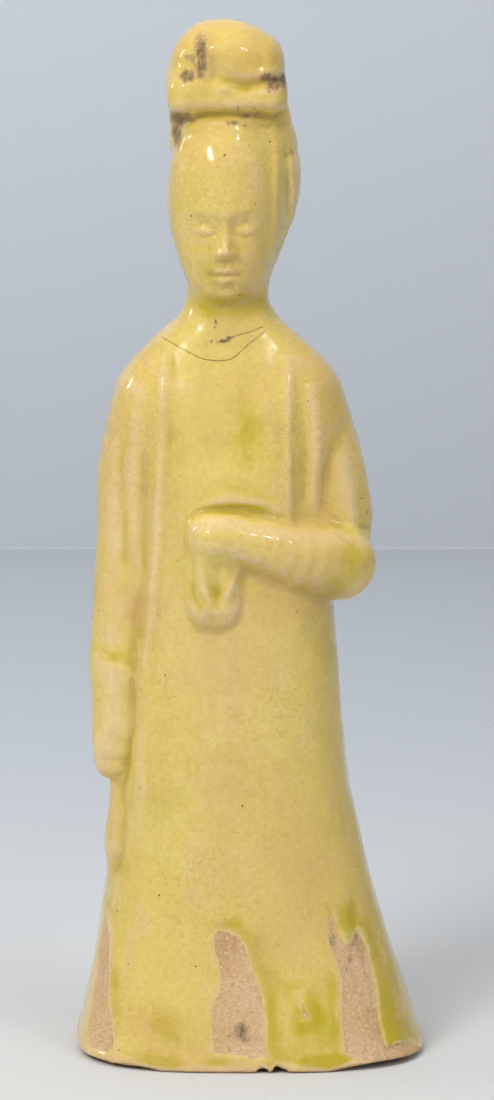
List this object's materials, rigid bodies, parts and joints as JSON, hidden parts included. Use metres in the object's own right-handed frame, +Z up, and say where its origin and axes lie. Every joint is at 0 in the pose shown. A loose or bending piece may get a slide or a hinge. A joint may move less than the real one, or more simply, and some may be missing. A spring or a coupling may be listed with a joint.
{
  "type": "glazed pottery figure of a standing court lady",
  "caption": "Hollow earthenware figure of a standing court lady with a tall topknot, one bent arm and a flared skirt, in honey-yellow glaze with bare clay patches.",
  "frame": {"origin": "middle of the foot's outline, on the plane the hem's rim stands on", "axes": "+Z up through the topknot, -Y towards the front of the figure, +X to the side of the bent arm"},
  "size_m": [0.0882, 0.0674, 0.26],
  "materials": {
    "honey_glaze": "glossy transparent honey-yellow lead glaze, finely crackled, over buff-pink earthenware left bare in patches at the hem"
  },
  "bodies": {
    "root": {"court_lady": "honey_glaze"}
  },
  "joints": []
}
